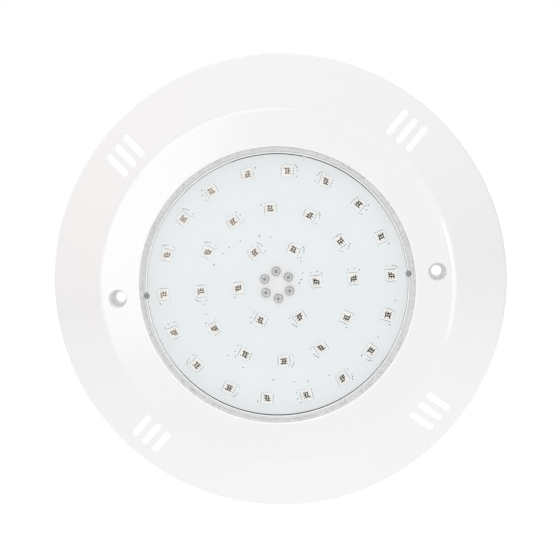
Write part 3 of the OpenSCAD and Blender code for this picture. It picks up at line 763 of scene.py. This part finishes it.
def die_parts(draw):
    """Three dice, each with a bond pad and a wire towards the middle."""
    parts = []
    for x, y, finish in DICE:
        x += draw.uniform(-0.08, 0.08)
        y += draw.uniform(-0.08, 0.08)
        parts.append((shifted(slab(0.84, 0.84, 0.04, DIE_BASE, DIE_TOP, bevel=0.03), x, y), finish))
        parts.append((shifted(slab(0.20, 0.20, 0.08, DIE_TOP, DIE_TOP + 0.01), x, y), "wire"))
        way = -1 if y > 0 else 1
        path = [(x, y + way * dy, z) for dy, z in ((0, 0.945), (0.2, 1.10), (0.7, 1.12),
                                                   (1.1, DIE_BASE))]
        parts.append((tube(smooth_path(path, steps=4), r=0.03, sides=5), "wire"))
    return parts


def led_unit(variant):
    """(part, finish) pairs of one package; the variant shifts its insides a little."""
    draw = random.Random(variant)
    parts = [(stacked(LED_BODY), "body"), (corner_mark(), "red")]
    parts += lead_parts(draw)
    parts.append((slab(3.84, 4.12, 0.40, 0.7705, FRAME_TOP), "pad"))
    parts += gap_parts(draw)
    parts += die_parts(draw)
    if variant != 1:
        # small bright pad where the wires meet
        dx = draw.uniform(-0.1, 0.1)
        dy = draw.uniform(0.0, 0.1)
        parts.append((shifted(slab(0.42, 0.46, 0.08, FRAME_TOP, 0.812), dx, dy), "pad"))
    return parts


def solder_fillet(side, k):
    """A low fillet round one foot."""
    outline = rounded_rect(1.25, 0.95, 0.3, steps=2)
    return loft([[(k * LEAD_PITCH + x * scale, side * (FILLET_Y + y * scale), z)
                  for x, y in outline] for scale, z in FILLET])


def build_leds():
    units = [led_unit(variant) for variant in range(VARIANTS)]
    bodies, leads, chips, resin, solder = (PartMesh() for _ in range(5))
    for i, (r, degrees) in enumerate(LEDS):
        at = (*polar(r, degrees), BOARD_Z)
        half_turn = 180 if (i * 7) % 5 < 2 else 0
        for part, finish in units[(i * 3) % VARIANTS]:
            part = turned(turned(part, half_turn), degrees, at)
            if finish == "body":
                bodies.add(part)
            elif finish == "lead":
                leads.add(part)
            else:
                chips.add(part, list(CHIP_LOOKS).index(finish))
        resin.add(turned(stacked(LED_RESIN), degrees, at))
        for side in (-1, 1):
            for k in (-1, 0, 1):
                solder.add(turned(solder_fillet(side, k), degrees, at))
    bodies.make("led_bodies", [led_cream], "led_body", replaces="led_packages")
    leads.make("led_lead_frames", [lead_tin], "stainless_steel")
    chips.make("led_dice", list(CHIP_LOOKS.values()), "led_body")
    resin.make("led_window_resin", [resin_clear], "led_clear_resin", replaces="led_resin")
    solder.make("led_solder_fillets", [solder_tin], "stainless_steel")


# ---------------------------------------------------------------- board tracks
# (offset across the track, height above the board)
TRACK_SECTION = [(-0.4, -0.01), (-0.2, 0.010), (0.2, 0.010), (0.4, -0.01)]
TRACK_GAP = 5.4                               # from an LED's centre to the end of its tracks
TRACK_STEP = 2.2                              # largest step along an arc, degrees
# (inner radius, outer radius, angle, angle between neighbours) of the radial tracks
RADIAL_TRACKS = [(14.5, 20.2, 330, 4), (28.4, 43.4, 345, 1.6), (51.6, 66.8, 350, 1.2)]


def arc_track(r, start, end):
    steps = max(3, int((end - start) / TRACK_STEP))
    sections = []
    for i in range(steps + 1):
        degrees = start + (end - start) * i / steps
        sections.append([(*polar(r + across, degrees), BOARD_Z + z)
                         for across, z in TRACK_SECTION])
    return loft(sections)


def radial_track(inner_r, outer_r, degrees):
    c, s = polar(1, degrees)
    sections = []
    for r in (inner_r, outer_r):
        x, y = polar(r, degrees)
        sections.append([(x - s * across, y + c * across, BOARD_Z + z)
                         for across, z in TRACK_SECTION])
    return loft(sections)


def build_tracks():
    """Three parallel arcs from each LED to the next but for one gap a ring, and radial links."""
    tracks = PartMesh()
    for ring_r, count in LED_RINGS:
        step = 360.0 / count
        for i in range(count - 1):
            for k in (-1, 0, 1):
                r = ring_r + LEAD_PITCH * k
                clear = math.degrees(TRACK_GAP / r)
                tracks.add(arc_track(r, step * i + clear, step * (i + 1) - clear))
    for k in (-1, 0, 1):
        for inner_r, outer_r, degrees, spread in RADIAL_TRACKS:
            tracks.add(radial_track(inner_r, outer_r, degrees + spread * k))
    tracks.make("board_tracks", [track_white], "white_solder_mask")


# ---------------------------------------------------------------- board marks
LED_DOTS = [(2.6, 5.75, 0.38), (1.1, 6.2, 0.32), (3.9, 4.9, 0.36), (-2.9, 5.9, 0.30)]   # x, y, r
DOT_HEIGHT = 0.03
LOOSE_DOTS = 26
LED_CLEARANCE = 6.2                           # loose dots keep this far from an LED's centre


def board_dot(x, y, r):
    profile = [(0, 0), (r, 0), (r, DOT_HEIGHT * 0.6), (r * 0.8, DOT_HEIGHT), (0, DOT_HEIGHT)]
    return lathe(profile, segments=10, closed=False, centre=(x, y), z0=BOARD_Z)


def build_marks():
    """Dots and a short tick beside each LED, and loose dots in a sunflower spiral."""
    marks = PartMesh()
    for i, (ring_r, degrees) in enumerate(LEDS):
        x, y = polar(ring_r, degrees)
        c, s = polar(1, degrees)
        side = -1 if i % 3 else 1
        for dx, dy, r in LED_DOTS:
            if (i + int(dx * 10)) % 4:        # leaves out a different few at each LED
                dy *= side
                marks.add(board_dot(dx * c - dy * s + x, dx * s + dy * c + y, r))
        tick = slab(0.9, 0.16, 0.05, 0.0, DOT_HEIGHT, bevel=0.01, steps=2)
        marks.add(turned(shifted(tick, -3.9, side * 4.3), degrees, (x, y, BOARD_Z)))
    centres = [polar(r, degrees) for r, degrees in LEDS]
    for i in range(LOOSE_DOTS):
        x, y = polar(14 + 62 * ((i * 0.381966) % 1.0), (i * 137.508) % 360)
        if min(math.hypot(x - cx, y - cy) for cx, cy in centres) > LED_CLEARANCE:
            marks.add(board_dot(x, y, 0.34 if i % 3 else 0.42))
    marks.make("board_marks", [silk_grey], "led_body")


# ---------------------------------------------------------------- window seal
SEAL_BOTTOM, SEAL_TOP = 47.9, 49.5
SEAL_SEGMENTS = 720
# (r, z) outline of the flat ring
SEAL_PROFILE = [
    (81.6, SEAL_BOTTOM), (81.6, 49.1), (81.7, 49.2), (82.9, 49.25), (83.3, 49.35),
    (83.6, SEAL_TOP), (89.4, SEAL_TOP), (89.4, SEAL_BOTTOM),
]
LIP_R, LIP_Z, LIP_THICKNESS_R, LIP_LEAN = 82.03, 49.42, 0.38, 0.5


def seal_ring(profile, lean=0.0):
    """The profile turned about the axis, stepping outwards round the two pins.

    Lean moves it inwards, most at the left and right, and a little at the top.
    """
    sections = []
    for k in range(SEAL_SEGMENTS):
        degrees = 360.0 * k / SEAL_SEGMENTS
        at_sides = math.cos(math.radians(degrees + 8)) ** 2
        at_top = max(0.0, math.sin(math.radians(degrees)))
        inwards = lean * (at_sides + 0.3 * at_top)
        section = []
        for r, z in profile:
            x, y = polar(r - inwards, degrees)
            for side in (-1, 1):
                if math.hypot(x - side * PIN_X, y) < PIN_CLEARANCE:
                    x = side * (PIN_X + math.sqrt(PIN_CLEARANCE ** 2 - y * y))
            section.append((x, y, z))
        sections.append(section)
    return loft(sections, closed=True)


def build_seal():
    """Grey silicone ring with a rounded lip made bright by painted light."""
    lip = arc(LIP_R, LIP_Z, LIP_THICKNESS_R, 0, 330, steps=11)
    seal = PartMesh()
    seal.add(seal_ring(SEAL_PROFILE))
    seal.add(seal_ring(lip, LIP_LEAN), 1)
    seal.make("window_seal", [silicone_grey, silicone_lip_painted_highlight], "grey_silicone",
              replaces="lens_seal", sharp_angle=50)


# ---------------------------------------------------------------- gland body
THREAD_R, THREAD_PITCH, THREAD_DEPTH = 7.6, 1.5, 0.62
ROOT_R = THREAD_R - THREAD_DEPTH
BORE_R = 4.5
HEX_CORNER_R, HEX_ROUNDED_R = 12.7, 12.62     # true corners, and where they are turned off
HEX_BOTTOM, HEX_TOP = 3.0, 8.0
HEX_SECTIONS = [(HEX_BOTTOM, -0.9), (3.35, -0.25), (3.8, 0.0), (6.9, 0.0), (HEX_TOP, 0.0)]  # z, dr
HEX_POINTS = 48
# (r, z) outline of the turned core
GLAND_PROFILE = [
    (BORE_R, -1.0), (5.9, -1.0), (5.9, -8.7), (6.1, -9.0), (6.7, -9.0), (ROOT_R, -8.4),
    (ROOT_R, 2.3), (THREAD_R - 0.2, 3.0), (THREAD_R - 0.2, 3.2), (ROOT_R, HEX_TOP),
    (ROOT_R, 17.5), (ROOT_R - 0.5, 18.0), (BORE_R + 0.5, 18.0), (BORE_R, 17.5),
]


def thread(z0, z1, segments=64):
    """A helical ridge between z0 and z1 that fades out over half a turn at each end."""
    turns = (z1 - z0) / THREAD_PITCH
    steps = int(turns * segments)
    foot_r = ROOT_R - 0.05
    foot, crest = THREAD_PITCH * 0.46, THREAD_PITCH * 0.09      # half widths
    sections = []
    for i in range(steps + 1):
        t = i / steps
        degrees = 360.0 * turns * t
        z = z0 + (z1 - z0) * t
        fade = min(1.0, t * turns / 0.5, (1 - t) * turns / 0.5)
        crest_r = ROOT_R + THREAD_DEPTH * max(fade, 0.02)
        sections.append([(*polar(r, degrees), z + dz) for r, dz in (
            (foot_r, -foot), (crest_r, -crest), (crest_r, crest), (foot_r, foot))])
    return loft(sections)


def hexagon():
    """The hexagon with its softened lower edge, hollow round the core."""
    step = 360 / HEX_POINTS
    sections = []
    for z, grow in HEX_SECTIONS:
        ring = []
        for k in range(HEX_POINTS):
            a = step * k
            flat = (HEX_CORNER_R * math.cos(math.radians(30))
                    / math.cos(math.radians((a % 60) - 30)))
            ring.append((*polar(min(flat, HEX_ROUNDED_R) + grow, a), z))
        sections.append(ring)
    for z in (HEX_TOP, HEX_BOTTOM):
        sections.append([(*polar(THREAD_R - 0.6, step * k), z) for k in range(HEX_POINTS)])
    return loft(sections, closed=True)


def build_gland():
    gland = PartMesh()
    gland.add(lathe(GLAND_PROFILE, segments=96))
    gland.add(thread(-7.9, 2.0))
    gland.add(thread(8.9, 17.0))
    gland.add(hexagon())
    gland.make("gland_body_threaded", [plated], "plated_brass", replaces="gland_body",
               sharp_angle=28)


# ---------------------------------------------------------------- core strands
def build_strands():
    """Seven copper strands at the stripped end of each core."""
    end_z = lamp_z(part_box("cable_cores")[1].y)
    centres = [polar(0.62, 60 * k) for k in range(6)] + [(0, 0)]
    strands = PartMesh()
    for side in (-1, 1):
        for x, y in centres:
            path = [(x, side * CORE_Y + y, end_z + dz) for dz in (6, 3, 0.02)]
            strands.add(tube(path, r=0.3, sides=8))
    strands.make("core_strands", [copper], "enamelled_copper")


# ---------------------------------------------------------------- world
# soft light in front: the level straight on, and how it changes with the ray's direction
SOFT_LEVEL = 0.847
SOFT_PER_X, SOFT_PER_Y, SOFT_PER_Z = -0.015, -0.22, -0.05
SOFT_PER_XZ = 0.45                            # times x z
SOFT_PER_QUAD = 0.25                          # times z squared less x squared
GLOSS_FRONT = 1.0                             # level of the tent in front, seen in reflections
WORLD_STRENGTH = 1.06


def build_world():
    """White to the camera; separate levels for diffuse light and for reflections."""
    world = bpy.data.worlds.new("studio")
    bpy.context.scene.world = world
    g = Graph(world)
    axes = g.node("SeparateXYZ", {"Vector": g.coords("Generated")}).node.outputs
    x, y, z = axes["X"], axes["Y"], axes["Z"]

    def plus(a, b):
        return g.math("ADD", a, b)

    def times(a, b):
        return g.math("MULTIPLY", a, b)

    # soft light: nearly even from the front, a gradient behind the lamp so that its back reads
    quad = g.math("SUBTRACT", times(z, z), times(x, x))
    soft_front = plus(plus(SOFT_LEVEL, times(quad, SOFT_PER_QUAD)),
                      plus(times(z, SOFT_PER_Z), times(x, SOFT_PER_X)))
    soft_front = plus(soft_front, plus(times(y, SOFT_PER_Y), times(times(x, z), SOFT_PER_XZ)))
    soft_back = plus(g.ranged(z, source=(-1, 1), target=(0.55, 1.15)), times(x, -0.18))
    soft = g.blend(g.ranged(y, source=(0.35, -0.15), smooth=True), soft_back, soft_front)
    # reflections: a bright tent in front, falling away behind
    gloss_back = plus(g.ranged(z, source=(-0.6, 0.9), target=(0.22, 1.1), smooth=True),
                      times(x, -0.35))
    gloss = g.blend(g.ranged(y, source=(0.15, -0.45), smooth=True), gloss_back, GLOSS_FRONT)
    rays = g.node("LightPath").node.outputs
    level = g.blend(rays["Is Diffuse Ray"], gloss, soft)
    # a little warm from the left, a little cool from the right
    tone = g.node("ValToRGB", {"Fac": g.ranged(x, source=(-1, 1))}, output="Color")
    ramp = tone.node.color_ramp
    ramp.elements[0].color = (1.0, 0.939, 0.929, 1)
    ramp.elements[1].color = (0.934, 0.939, 0.968, 1)
    ramp.elements.new(0.5).color = (0.943, 0.943, 0.943, 1)
    studio = g.node("Background", {"Color": tone, "Strength": times(level, WORLD_STRENGTH)})
    white = g.node("Background", {"Color": (1, 1, 1, 1)})
    g.finish(g.blend_shaders(rays["Is Camera Ray"], studio, white), "OutputWorld")


# ---------------------------------------------------------------- floor
FLOOR_Z = CAD_LO.z - 0.0005
FLOOR_HALF = 3
FLOOR_GLOW = 1.0


def floor_material():
    """Even glow, but in reflections it fades with distance and to the right."""
    material, g = new_material("floor_pale")
    place = g.coords()
    grain = g.ranged(g.noise(place, scale=3.0), target=(1.0, 1.03))
    level = g.math("MULTIPLY", grain, FLOOR_GLOW)
    fade = g.ranged(g.length(place), source=(0.3, 1.5), target=(1.0, 0.6))
    x = g.node("SeparateXYZ", {"Vector": place}, output="X")
    side = g.ranged(x, source=(0.2, 0.6), target=(1.0, 0.5))
    dim = g.math("MULTIPLY", fade, side)
    not_glossy = g.math("SUBTRACT", 1.0, g.node("LightPath", output="Is Glossy Ray"))
    strength = g.math("MULTIPLY", level, g.math("MAXIMUM", dim, not_glossy))
    g.finish(g.node("Emission", {"Color": (1, 1, 1, 1), "Strength": strength}))
    return material


def build_floor():
    mesh = bpy.data.meshes.new("floor")
    corners = ((-1, -1), (1, -1), (1, 1), (-1, 1))
    mesh.from_pydata([(x * FLOOR_HALF, y * FLOOR_HALF, FLOOR_Z) for x, y in corners], [],
                     [[0, 1, 2, 3]])
    floor = bpy.data.objects.new("floor", mesh)
    bpy.context.scene.collection.objects.link(floor)
    mesh.materials.append(floor_material())


# ---------------------------------------------------------------- lights
# rotations, as the rows of a matrix; a light shines along its own -z
FACING_BACK = ((1, 0, 0), (0, 0, -1), (0, 1, 0))
FACING_BACK_TILTED = ((0.956, 0.292, 0), (0, 0, -1), (-0.292, 0.956, 0))
FACING_UP = ((1, 0, 0), (0, -1, 0), (0, 0, -1))


def build_lights():
    """Boxes seen in reflections only, and linked to the face ring alone."""
    receivers = bpy.data.collections.new("lit_by_softboxes")
    receivers.objects.link(NODES["face_ring"])

    def softbox(name, at, rows, size, power, colour=(1, 1, 1)):
        data = bpy.data.lights.new(name, "AREA")
        data.shape = "RECTANGLE"
        data.size, data.size_y = size
        data.energy = power
        data.color = colour
        light = bpy.data.objects.new(name, data)
        light.location = at
        light.rotation_mode = "QUATERNION"
        light.rotation_quaternion = Matrix(rows).to_quaternion()
        bpy.context.scene.collection.objects.link(light)
        light.visible_diffuse = False
        light.light_linking.receiver_collection = receivers

    # tall box whose edge crosses the left of the ring
    softbox("softbox_left", at=(-0.595, -1.25, 0.093), rows=FACING_BACK_TILTED, size=(0.9, 2.0),
            power=12.4, colour=(1.0, 0.995, 0.98))
    # low, wide box for the rounded edges
    softbox("softbox_right", at=(0.98, -1.25, 0.06), rows=FACING_BACK, size=(1.36, 0.5), power=6.7)
    # card just above the floor that lights upwards
    softbox("card_right", at=(0.86, -0.78, FLOOR_Z + 0.02), rows=FACING_UP, size=(1.2, 1.25),
            power=7.8)


# ---------------------------------------------------------------- camera
CAMERA_RISE, CAMERA_SWING, CAMERA_ROLL = 0.061087, 0.045134, 0.087197      # radians
CAMERA_DISTANCE = 1100.0                      # from the front of the light board, mm
SHIFT_RIGHT, SHIFT_UP = 1.715, 3.022          # of the camera in its own plane, mm
SENSOR_WIDTH, FOCAL_LENGTH = 36.0, 114.0492857


def build_camera():
    """A little above and to the right of the lamp's axis, rolled about 5 degrees."""
    rise_cos, rise_sin = math.cos(CAMERA_RISE), math.sin(CAMERA_RISE)
    swing_cos, swing_sin = math.cos(CAMERA_SWING), math.sin(CAMERA_SWING)
    roll_cos, roll_sin = math.cos(CAMERA_ROLL), math.sin(CAMERA_ROLL)
    level_right = Vector((swing_cos, 0, -swing_sin))
    level_up = Vector((-swing_sin * rise_sin, rise_cos, -swing_cos * rise_sin))
    back = Vector((swing_sin * rise_cos, rise_sin, swing_cos * rise_cos))
    right = level_right * roll_cos - level_up * roll_sin
    up = level_right * roll_sin + level_up * roll_cos
    place = (back * CAMERA_DISTANCE + right * SHIFT_RIGHT + up * SHIFT_UP
             + Vector((0, 0, BOARD_Z)))
    data = bpy.data.cameras.new("camera")
    data.sensor_fit = "HORIZONTAL"
    data.sensor_width = SENSOR_WIDTH
    data.lens = FOCAL_LENGTH
    data.clip_start, data.clip_end = 0.02, 50
    camera = bpy.data.objects.new("camera", data)
    bpy.context.scene.collection.objects.link(camera)
    to_row = LAMP_TO_ROW.to_3x3() * 1000      # rotation only
    axes = Matrix((to_row @ right, to_row @ up, to_row @ back)).transposed()
    camera.matrix_world = Matrix.Translation(LAMP_TO_ROW @ place) @ axes.to_4x4()
    bpy.context.scene.camera = camera


build_leds()
build_tracks()
build_marks()
build_seal()
build_gland()
build_strands()
build_world()
build_floor()
build_lights()
build_camera()
bpy.context.scene.view_settings.view_transform = "Standard"
bpy.context.scene.view_settings.look = "None"
